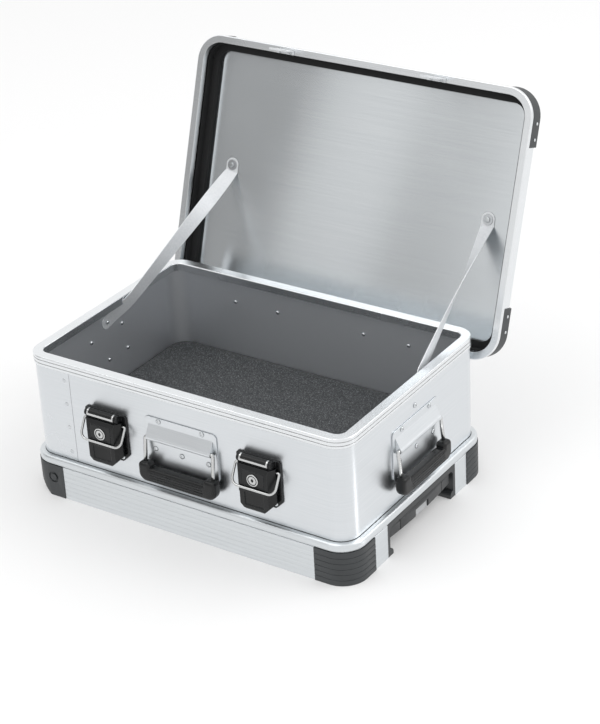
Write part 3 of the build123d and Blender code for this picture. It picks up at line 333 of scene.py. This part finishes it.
def softenNode(name, width, body, slot):
    mesh = nodes[name].data.copy()
    work = bmesh.new()
    work.from_mesh(mesh)
    bmesh.ops.remove_doubles(work, verts=work.verts, dist=softEdges["weld"])
    bmesh.ops.dissolve_limit(work, angle_limit=math.radians(softEdges["flatDegrees"]), verts=work.verts,
                             edges=work.edges)
    work.to_mesh(mesh)
    work.free()
    shadeSmooth(mesh)
    piece = linkPiece(name + ".soft", mesh, None, body, name, slot=slot)
    bevel = piece.modifiers.new("roundedEdges", "BEVEL")
    bevel.width = width
    bevel.segments = softEdges["segments"]
    bevel.limit_method = "ANGLE"
    bevel.angle_limit = math.radians(softEdges["sharpDegrees"])
    bevel.use_clamp_overlap = True
    bevel.harden_normals = True
    return piece


# points of a bent path: straight runs joined by arcs of one radius, each taking less than half of a run
roomShare = 0.49


def bentPath(points, radius, steps=8):
    points = [Vector(p) for p in points]
    path = [points[0]]
    for before, corner, after in zip(points, points[1:], points[2:]):
        into, out = (before - corner).normalized(), (after - corner).normalized()
        half = into.angle(out) / 2
        room = min((before - corner).length, (after - corner).length) * roomShare
        back = min(radius / math.tan(half), room)
        bend = back * math.tan(half)
        centre = corner + (into + out).normalized() * (bend / math.sin(half))
        first, last = corner + into * back - centre, corner + out * back - centre
        turn = first.angle(last)
        for k in range(steps + 1):
            share = k / steps
            mixed = (first * math.sin((1 - share) * turn) + last * math.sin(share * turn)) / math.sin(turn)
            path.append(centre + mixed)
    return path + [points[-1]]


# a tube along a path, closed by slightly domed ends, whose height and width are shares of the radius
domeShares = dict(height=0.25, width=0.7)


def tubeMesh(name, path, radius, sides=20):
    path = [Vector(p) for p in path]
    ways = [(b - a).normalized() for a, b in zip(path, path[1:])]
    ways = [ways[0]] + [(a + b).normalized() for a, b in zip(ways, ways[1:])] + [ways[-1]]
    normal = ways[0].orthogonal().normalized()
    verts, faces = [], []
    rings = []
    for place, way in zip(path, ways):
        normal = (normal - way * normal.dot(way)).normalized()
        rings.append((place, way, normal, radius))
    tip, tipRadius = radius * domeShares["height"], radius * domeShares["width"]
    first, last = rings[0], rings[-1]
    rings.insert(0, (first[0] - first[1] * tip, first[1], first[2], tipRadius))
    rings.append((last[0] + last[1] * tip, last[1], last[2], tipRadius))
    for place, way, normal, size in rings:
        other = way.cross(normal)
        for k in range(sides):
            turn = 2 * math.pi * k / sides
            verts.append(place + (normal * math.cos(turn) + other * math.sin(turn)) * size)
    for row in range(len(rings) - 1):
        for k in range(sides):
            a, b = row * sides + k, row * sides + (k + 1) % sides
            faces.append((a, b, b + sides, a + sides))
    faces.append(tuple(range(sides))[::-1])
    faces.append(tuple(range((len(rings) - 1) * sides, len(rings) * sides)))
    mesh = bpy.data.meshes.new(name)
    mesh.from_pydata(verts, [], faces)
    shadeSmooth(mesh, 50)
    return mesh


# turned profile of (radius, height) points about local Z, placed by a matrix
def addTurned(work, profile, place, sides=20):
    rows = []
    for radius, height in profile:
        if radius == 0:
            rows.append([work.verts.new(place @ Vector((0, 0, height)))])
        else:
            rows.append([work.verts.new(place @ Vector((radius * math.cos(2 * math.pi * k / sides),
                                                        radius * math.sin(2 * math.pi * k / sides), height)))
                         for k in range(sides)])
    for lower, upper in zip(rows, rows[1:]):
        for k in range(sides):
            after = (k + 1) % sides
            if len(lower) == 1:
                work.faces.new((lower[0], upper[after], upper[k]))
            elif len(upper) == 1:
                work.faces.new((lower[k], lower[after], upper[0]))
            else:
                work.faces.new((lower[k], lower[after], upper[after], upper[k]))


# the finished mesh of turned pieces
def turnedMesh(name, work, angle=40):
    mesh = bpy.data.meshes.new(name)
    work.to_mesh(mesh)
    work.free()
    shadeSmooth(mesh, angle)
    return mesh


# places on the walls: x along the wall, out of it, up
halfLong, halfWide = 290.5 * mm, 192.5 * mm


def onFront(along, out, up):
    return Vector((along, -halfWide - out, up))


def onBack(along, out, up):
    return Vector((-along, halfWide + out, up))


def onRight(along, out, up):
    return Vector((halfLong + out, along, up))


def onLeft(along, out, up):
    return Vector((-halfLong - out, -along, up))


walls = {"front": onFront, "back": onBack, "right": onRight, "left": onLeft}
outOf = {"front": Vector((0, -1, 0)), "back": Vector((0, 1, 0)), "right": Vector((1, 0, 0)),
         "left": Vector((-1, 0, 0))}


def facing(place, way):
    return Matrix.Translation(place) @ way.to_track_quat("Z", "Y").to_matrix().to_4x4()


# blind rivets: domed head with the broken stem's pit in the middle
rivetShape = dict(head=4.2 * mm, height=2.0 * mm, stem=1.25 * mm, pit=0.5 * mm, edge=0.05 * mm, lip=0.12 * mm,
                  crown=0.3 * mm, flank=0.25, shank=2.0 * mm, bulb=3.2 * mm, neck=2.0 * mm, bulbTop=2.6 * mm,
                  bulbFoot=1.0 * mm, reach=5.5 * mm, turns=6)


def rivetProfile():
    v = rivetShape
    head, height, stem, pit = (v[k] for k in ("head", "height", "stem", "pit"))
    crown = stem + v["crown"]
    points = [(0, height - pit), (stem * 0.7, height - pit), (stem, height - pit * 0.8), (stem, height - v["edge"])]
    points += [(stem + v["lip"], height)]
    for k in range(v["turns"] + 1):
        turn = math.radians(90 * k / v["turns"])
        up = height * (v["flank"] + (1 - v["flank"]) * math.cos(turn))
        points.append((crown + (head - crown) * math.sin(turn), up))
    shank, bulb, reach = v["shank"], v["bulb"], v["reach"]
    points += [(head, 0.0), (shank, 0.0), (shank, -v["neck"]), (bulb, -v["bulbTop"])]
    points += [(bulb, -reach + v["bulbFoot"]), (shank, -reach), (0, -reach)]
    return points[::-1]


# steel straps: flat strip that lies on the wall, turns a quarter on its way and lies on the lid panel
strapShape = dict(width=24.0 * mm, thick=1.2 * mm, edge=0.35 * mm, tip=0.4 * mm, low=(288.4, 2.0, 208.0),
                  lip=(273.8, 27.0, 221.0), high=(244.0, 307.6, 377.5), shift=4.0, tab=11.0, steps=32,
                  endSteps=6, twist=1.75, bendShare=0.09, lidOpenDegrees=108.5)


def makeStrap(side, name):
    low, lip, high = (Vector(strapShape[k]) * mm for k in ("low", "lip", "high"))
    high.x += side * strapShape["shift"] * mm
    turn = math.radians(strapShape["lidOpenDegrees"])
    along = Vector((0, -math.cos(turn), math.sin(turn)))
    inward = Vector((0, math.sin(turn), math.cos(turn)))
    run = Vector((0, high.y - low.y, high.z - low.z)).normalized()
    lip.y = low.y + (lip.z - low.z) * run.y / run.z
    tab, half = strapShape["tab"] * mm, strapShape["width"] / 2
    foot = high - along * tab
    pull = (foot - lip).normalized()
    wallFace = Vector((1, 0, 0))
    # the ends are round: cross lines of a half disc, then the full width
    endSteps, tip, steps = (strapShape[k] for k in ("endSteps", "tip", "steps"))
    turns = [math.radians(90 - 90 * k / endSteps) for k in range(endSteps)]
    roundEnd = [(max(half * math.cos(turn), tip), half * math.sin(turn)) for turn in turns]
    sections = [(low - run * reach, run, wallFace, wide) for wide, reach in roundEnd]
    for k in range(steps + 1):
        share = k / steps
        twist = share ** strapShape["twist"] * math.pi / 2
        ease = min(1.0, share / strapShape["bendShare"])
        ease = ease * ease * (3 - 2 * ease)
        straight = low.lerp(foot, share)
        place = straight + (lip.lerp(foot, share) - straight) * ease
        sections.append((place, pull, wallFace * math.cos(twist) + inward * math.sin(twist), half))
    sections += [(high + along * reach, along, inward, wide) for wide, reach in roundEnd[::-1]]
    thin, edge = strapShape["thick"] / 2, strapShape["edge"]
    verts, faces = [], []
    for place, way, normal, wide in sections:
        normal = (normal - way * normal.dot(way)).normalized()
        across = way.cross(normal)
        soft = min(edge, wide / 2)
        outline = [(-wide + soft, -thin), (wide - soft, -thin), (wide, -thin + soft), (wide, thin - soft),
                   (wide - soft, thin), (-wide + soft, thin), (-wide, thin - soft), (-wide, -thin + soft)]
        for wideAt, deep in outline:
            point = place + across * wideAt + normal * deep
            verts.append((point.x * side, point.y, point.z))
    count = len(outline)
    for row in range(len(sections) - 1):
        for k in range(count):
            a, b = row * count + k, row * count + (k + 1) % count
            faces.append((a, b, b + count, a + count) if side > 0 else (a, a + count, b + count, b))
    ends = [tuple(range(count))[::-1], tuple(range((len(sections) - 1) * count, len(sections) * count))]
    faces += ends if side > 0 else [face[::-1] for face in ends]
    mesh = bpy.data.meshes.new(name)
    mesh.from_pydata(verts, [], faces)
    shadeSmooth(mesh, 30)
    strap = linkPiece(name + ".strip", mesh, "dullSteelStrip", None, name, slot="bright_steel")
    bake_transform(strap)


makeStrap(-1, "strap_left")
makeStrap(1, "strap_right")

# rivets through the walls: latch plates, handle plates, hinge leaves and strap feet
rivetRows = dict(latchAt=141.0, latchHalf=27.0, latchHeights=(108.0, 150.0), latchPlate=3.0,
                 handleUpper=(40.0, 189.0), handleLower=(49.0, 140.0), handlePlate=2.0,
                 hingeAt=125.0, hingeHalf=42.0, hingeHeight=189.0, hingeLeaf=2.0, strapBack=2.0, strapHeight=208.0)

# flat spot welds down the seam of the front wall; shoulder and crown are shares of the radius and height
spotWelds = dict(at=-219.0, heights=(212.0, 171.0, 130.0, 86.0), radius=3.6 * mm, proud=0.5 * mm, sunk=0.4 * mm,
                 shoulder=(0.8, 0.7), crown=0.45, sides=24)


def makeBodyRivets():
    rows = rivetRows
    spots = []
    for side in (-1, 1):
        for half in (-1, 1):
            for height in rows["latchHeights"]:
                spots.append(("front", side * rows["latchAt"] + half * rows["latchHalf"], rows["latchPlate"], height))
            hingeX = side * rows["hingeAt"] + half * rows["hingeHalf"]
            spots.append(("back", hingeX, rows["hingeLeaf"], rows["hingeHeight"]))
    for wall in ("front", "right", "left"):
        upper, lower = rows["handleUpper"], rows["handleLower"]
        spots += [(wall, side * upper[0], rows["handlePlate"], upper[1]) for side in (-1, 1)]
        spots += [(wall, side * lower[0], rows["handlePlate"], lower[1]) for side in (-1, 0, 1)]
    spots += [("right", rows["strapBack"], 0.0, rows["strapHeight"])]
    spots += [("left", -rows["strapBack"], 0.0, rows["strapHeight"])]
    work = bmesh.new()
    profile = rivetProfile()
    for wall, along, out, height in spots:
        addTurned(work, profile, facing(walls[wall](along * mm, out * mm, height * mm), outOf[wall]))
    v = spotWelds
    wide, proud = v["radius"], v["proud"]
    button = [(wide, -v["sunk"]), (wide, 0.0), (wide * v["shoulder"][0], proud * v["shoulder"][1])]
    button += [(wide * v["crown"], proud), (0, proud)]
    for height in v["heights"]:
        addTurned(work, button, facing(onFront(v["at"] * mm, 0.0, height * mm), outOf["front"]), v["sides"])
    work.normal_update()
    mesh = turnedMesh("bodyRivets", work)
    linkPiece("body_rivets.domed", mesh, "zincPlatedSteel", "case", "body_rivets", slot="bright_steel")


makeBodyRivets()

# a thin black tube of painted shade where the walls stand in the foot frame: the dark line of the shadow gap above
# the frame, whose end overlaps its start
sealLine = dict(halfLong=290.7, halfWide=192.7, corner=31.2, height=70.7, radius=0.42, overlap=1.0)


def makeShadowGapLine():
    v = sealLine
    x, y, z = v["halfLong"] * mm, v["halfWide"] * mm, v["height"] * mm
    corners = [(0, -y, z), (x, -y, z), (x, y, z), (-x, y, z), (-x, -y, z), (v["overlap"] * mm, -y, z)]
    mesh = tubeMesh("sealLine", bentPath(corners, v["corner"] * mm, 14), v["radius"] * mm, 8)
    linkPiece("sealLine", mesh, "foamRubber", "case")


makeShadowGapLine()

# latch wires and handle wires: bright round wire, bent cold
latchWire = dict(at=141.0, half=38.6, rootHalf=28.0, rootOut=6.0, rootHeight=164.0, barOut=22.4, barHeight=134.0,
                 rootBend=3.0, bend=12.0, radius=2.0)
handleWire = dict(half=62.5, axisOut=7.6, axisHeight=162.0, gripOut=14.0, endHeight=108.0, bend=4.0, radius=3.0)


def makeLatchWire(side, name):
    v = latchWire
    centre = side * v["at"]
    corners = [(-v["rootHalf"], v["rootOut"], v["rootHeight"]), (-v["half"], v["rootOut"], v["rootHeight"]),
               (-v["half"], v["barOut"], v["barHeight"]), (v["half"], v["barOut"], v["barHeight"]),
               (v["half"], v["rootOut"], v["rootHeight"]), (v["rootHalf"], v["rootOut"], v["rootHeight"])]
    points = [onFront((centre + a) * mm, o * mm, u * mm) for a, o, u in corners]
    soft = bentPath(points[1:5], v["bend"] * mm, 12)
    rooted = bentPath([points[0], points[1], soft[2]], v["rootBend"] * mm)[:-1] + soft[2:-2]
    rooted += bentPath([soft[-3], points[4], points[5]], v["rootBend"] * mm)[1:]
    mesh = tubeMesh(name + ".wire", rooted, v["radius"] * mm)
    linkPiece(name + ".wire", mesh, "polishedNickel", "bail_" + name.split("_")[-1], name, slot="bright_steel")


def makeHandleWire(wall):
    v = handleWire
    corners = [(-v["half"], v["gripOut"], v["endHeight"]), (-v["half"], v["axisOut"], v["axisHeight"]),
               (v["half"], v["axisOut"], v["axisHeight"]), (v["half"], v["gripOut"], v["endHeight"])]
    points = [walls[wall](a * mm, o * mm, u * mm) for a, o, u in corners]
    mesh = tubeMesh("drop_bail_" + wall + ".wire", bentPath(points, v["bend"] * mm), v["radius"] * mm)
    linkPiece("drop_bail_" + wall + ".wire", mesh, "polishedNickel", "drop_" + wall, "drop_bail_" + wall,
              slot="bright_steel")


# a black ring between lock ring and plug, and a dark disc of painted shade at the mouth of the keyway
lockDarkMarks = dict(height=149.0, ringOut=21.8, inner=6.75, outer=8.1, ringSunk=0.4, plugOut=21.6, mouth=2.4,
                mouthSunk=0.2, proud=0.05, sides=32, weld=0.001)


def makeLockDarkMarks(side, name):
    v = lockDarkMarks
    ring = [(v["inner"], -v["ringSunk"]), (v["inner"], v["proud"]), (v["outer"], v["proud"]),
            (v["outer"], -v["ringSunk"]), (v["inner"], -v["ringSunk"])]
    mouth = [(0, -v["mouthSunk"]), (v["mouth"], -v["mouthSunk"]), (v["mouth"], v["proud"]), (0, v["proud"])]
    seals = (("seal", ring, v["ringOut"], "lever_"), ("keywayShade", mouth, v["plugOut"], "plug_"))
    for label, profile, out, body in seals:
        work = bmesh.new()
        place = facing(onFront(side * latchWire["at"] * mm, out * mm, v["height"] * mm), outOf["front"])
        addTurned(work, [(radius * mm, height * mm) for radius, height in profile], place, v["sides"])
        bmesh.ops.remove_doubles(work, verts=work.verts, dist=v["weld"] * mm)
        bmesh.ops.recalc_face_normals(work, faces=work.faces)
        mesh = turnedMesh(label + name, work)
        linkPiece(label + "_" + name, mesh, "foamRubber", body + name)


makeLockDarkMarks(-1, "left")
makeLockDarkMarks(1, "right")
makeLatchWire(-1, "latch_bail_left")
makeLatchWire(1, "latch_bail_right")
for wall in ("front", "right", "left"):
    makeHandleWire(wall)
print("straps, rivets and wires made")

# pieces whose own CAD shape is right, with their edges rounded
softened = {
    "bumper_front": (0.8, "case", "black_plastic"), "bumper_back": (0.8, "case", "black_plastic"),
    "wheel_housing_front": (0.8, "case", "black_plastic"), "wheel_housing_back": (0.8, "case", "black_plastic"),
    "handle_bezel": (0.6, "case", "grey_plastic"), "pull_grip": (0.5, "pull", "grey_plastic"),
    "release_button": (0.3, "button", "silver_plastic"), "lid_corners": (0.5, "lid", "black_plastic"),
}
for side in ("left", "right"):
    softened["latch_base_" + side] = (0.6, "case", "black_plastic")
    softened["latch_lever_" + side] = (0.5, "lever_" + side, "black_plastic")
    softened["lid_catch_" + side] = (0.3, "lid", "bright_steel")
for wall in ("front", "right", "left"):
    softened["drop_grip_" + wall] = (0.6, "drop_" + wall, "black_plastic")
for name, (width, body, slot) in softened.items():
    softenNode(name, width * mm, body, slot)
print("edges rounded on", len(softened), "pieces")

# the skirt of the foot frame: its ribs are only just visible, so its grooves are drawn shallower than cut
skirt = dict(halfLong=300.0, halfWide=202.0, corner=40.0, top=57.0, groove=0.7, left=0.15, fit=0.12)


def shallowSkirt():
    v = skirt
    mesh = nodes["base_frame"].data.copy()
    for vertex in mesh.vertices:
        x, y, z = (value / mm for value in vertex.co)
        reachX = abs(x) - v["halfLong"] + v["corner"]
        reachY = abs(y) - v["halfWide"] + v["corner"]
        away = Vector((max(reachX, 0.0), max(reachY, 0.0)))
        deep = min(max(reachX, reachY), 0.0) + away.length - v["corner"]
        if z > v["top"] or abs(deep + v["groove"]) > v["fit"]:
            continue
        if away.length > 0.0:
            way = away.normalized()
        else:
            way = Vector((1, 0)) if reachX > reachY else Vector((0, 1))
        out = (v["groove"] - v["left"]) * mm
        vertex.co.x += math.copysign(way.x * out, x)
        vertex.co.y += math.copysign(way.y * out, y)
    shadeSmooth(mesh)
    linkPiece("base_frame.shallow", mesh, None, "case", "base_frame", slot="rim_aluminium")


shallowSkirt()

# studio: white floor and world, a soft key light above the front left, a soft fill from the right behind, and
# a grey board and a bright card that only show in reflections
studio = dict(floorColour="#EEEEEE", floorSize=30.0, floorGlow=1.0, floorShare=0.2, floorMirrorShare=0.85,
              worldStrength=0.95, keyPower=32.0, keySize=3.0, keyAt=(-1.0, -1.6, 3.6), fillPower=45.0,
              fillSize=2.5, fillAt=(2.4, 1.6, 2.9), lightsAimAt=(0, 0, 0.25))
boards = {
    # ends of the board from the left, and its grey levels as (share of its width, level)
    "frontBoard": dict(left=(-2.6, -1.1), right=(-0.1, -1.1), low=0.0, high=1.5,
                       levels=((0.0, 0.33), (0.625, 0.35), (0.65, 0.82), (0.75, 0.86), (0.758, 0.58),
                               (0.84, 0.64), (0.855, 0.82), (1.0, 1.0))),
}


def seenBy(tree, *kinds):
    path = addNode(tree, "ShaderNodeLightPath")
    seen = path.outputs[kinds[0]]
    for kind in kinds[1:]:
        seen = addNode(tree, "ShaderNodeMath", {"operation": "MAXIMUM"}, {0: seen, 1: path.outputs[kind]}).outputs[0]
    return seen


def makeWorld():
    world = bpy.data.worlds.new("studioWorld")
    scene.world = world
    world.use_nodes = True
    tree = world.node_tree
    tree.nodes.clear()
    seen = seenBy(tree, "Is Camera Ray", "Is Glossy Ray", "Is Transmission Ray")
    level = addNode(tree, "ShaderNodeMapRange", {"To Min": studio["worldStrength"], "To Max": 1.0}, {"Value": seen})
    back = addNode(tree, "ShaderNodeBackground", {"Color": (1, 1, 1, 1)}, {"Strength": level.outputs[0]})
    addNode(tree, "ShaderNodeOutputWorld", None, {"Surface": back.outputs[0]})


def makeSheet(name, corners, face):
    sheet = bpy.data.objects.new(name, bpy.data.meshes.new(name))
    sheet.data.from_pydata(corners, [], [face])
    scene.collection.objects.link(sheet)
    return sheet


def makeFloor():
    half = studio["floorSize"] / 2
    corners = [(-half, -half, 0), (half, -half, 0), (half, half, 0), (-half, half, 0)]
    floor = makeSheet("studioFloor", corners, (0, 1, 2, 3))
    material, tree = newMaterial("whiteStudioPaper")
    paint = addNode(tree, "ShaderNodeBsdfDiffuse", {"Color": toLinear(studio["floorColour"])})
    glow = addNode(tree, "ShaderNodeEmission", {"Color": (1, 1, 1, 1), "Strength": studio["floorGlow"]})
    seen = seenBy(tree, "Is Camera Ray", "Is Transmission Ray")
    straight = addNode(tree, "ShaderNodeMath", {"operation": "MULTIPLY", 1: studio["floorShare"]}, {0: seen})
    mirrored = addNode(tree, "ShaderNodeMath", {"operation": "MULTIPLY", 1: studio["floorMirrorShare"]},
                       {0: seenBy(tree, "Is Glossy Ray")})
    share = addNode(tree, "ShaderNodeMath", {"operation": "MAXIMUM"},
                    {0: straight.outputs[0], 1: mirrored.outputs[0]})
    both = addNode(tree, "ShaderNodeMixShader", None, {0: share.outputs[0], 1: paint.outputs[0], 2: glow.outputs[0]})
    finishMaterial(tree, both)
    floor.data.materials.append(material)


def hideFromAllButMirrors(thing):
    for ray in ("camera", "diffuse", "transmission", "volume_scatter", "shadow"):
        setattr(thing, "visible_" + ray, False)


def makeBoard(name, values):
    left, right = Vector((*values["left"], 0)), Vector((*values["right"], 0))
    middle, half = (left + right) / 2, (right - left).length / 2
    low, high = values["low"], values["high"]
    corners = [(-half, 0, low), (half, 0, low), (half, 0, high), (-half, 0, high)]
    board = makeSheet(name, corners, (0, 1, 2, 3))
    board.location = middle
    board.rotation_euler = (0, 0, math.atan2(right.y - left.y, right.x - left.x))
    hideFromAllButMirrors(board)
    material, tree = newMaterial(name + "Paint")
    place = addNode(tree, "ShaderNodeTexCoord")
    along = addNode(tree, "ShaderNodeSeparateXYZ", None, {0: place.outputs["Object"]})
    share = addNode(tree, "ShaderNodeMapRange", {"From Min": -half, "From Max": half}, {"Value": along.outputs["X"]})
    ramp = addNode(tree, "ShaderNodeValToRGB", None, {0: share.outputs[0]})
    stops = ramp.color_ramp.elements
    stops.remove(stops[1])
    for index, (at, level) in enumerate(values["levels"]):
        stop = stops.new(at) if index else stops[0]
        stop.position, stop.color = at, (level, level, level, 1)
    glow = addNode(tree, "ShaderNodeEmission", None, {"Color": ramp.outputs[0]})
    finishMaterial(tree, glow)
    board.data.materials.append(material)


# a bright card on the floor that draws the line of light down the near corner
cornerCard = dict(corners=((0.394, -0.112), (0.385, -0.092), (0.55, 0.03), (0.572, 0.0)), height=0.002, strength=3.0)


def makeCornerCard():
    v = cornerCard
    card = makeSheet("cornerCard", [(x, y, v["height"]) for x, y in v["corners"]], (0, 3, 2, 1))
    hideFromAllButMirrors(card)
    material, tree = newMaterial("cornerCardPaint")
    finishMaterial(tree, addNode(tree, "ShaderNodeEmission", {"Color": (1, 1, 1, 1), "Strength": v["strength"]}))
    card.data.materials.append(material)


def makeLight(name, place, power, size):
    light = bpy.data.lights.new(name, "AREA")
    light.energy = power
    light.size = size
    lamp = bpy.data.objects.new(name, light)
    scene.collection.objects.link(lamp)
    lamp.location = place
    lamp.rotation_euler = (Vector(studio["lightsAimAt"]) - Vector(place)).to_track_quat("-Z", "Y").to_euler()


makeWorld()
makeFloor()
for name, values in boards.items():
    makeBoard(name, values)
makeCornerCard()
makeLight("keySoftbox", studio["keyAt"], studio["keyPower"], studio["keySize"])
makeLight("fillSoftbox", studio["fillAt"], studio["fillPower"], studio["fillSize"])

# camera from the fit to the photograph: place, the three axes of its frame, and focal length in pixels
shot = dict(place=(1.692665, -2.304507, 1.729004), right=(0.845342, 0.532756, -0.039597),
            up=(-0.222415, 0.418365, 0.880626), back=(0.485725, -0.735623, 0.472154),
            focalPixels=2085.73, centreX=345.0, centreY=363.0, wide=600, high=724, sensorWidth=36.0)


def makeCamera():
    data = bpy.data.cameras.new("photoCamera")
    camera = bpy.data.objects.new("photoCamera", data)
    scene.collection.objects.link(camera)
    data.sensor_width = shot["sensorWidth"]
    data.lens = shot["focalPixels"] * shot["sensorWidth"] / shot["high"]
    data.shift_x = (shot["wide"] / 2 - shot["centreX"]) / shot["high"]
    data.shift_y = (shot["centreY"] - shot["high"] / 2) / shot["high"]
    axes = Matrix([shot["right"], shot["up"], shot["back"]]).transposed()
    camera.matrix_world = Matrix.Translation(shot["place"]) @ axes.to_4x4()
    scene.camera = camera


makeCamera()
scene.view_settings.view_transform = "Standard"
print("studio and camera made")
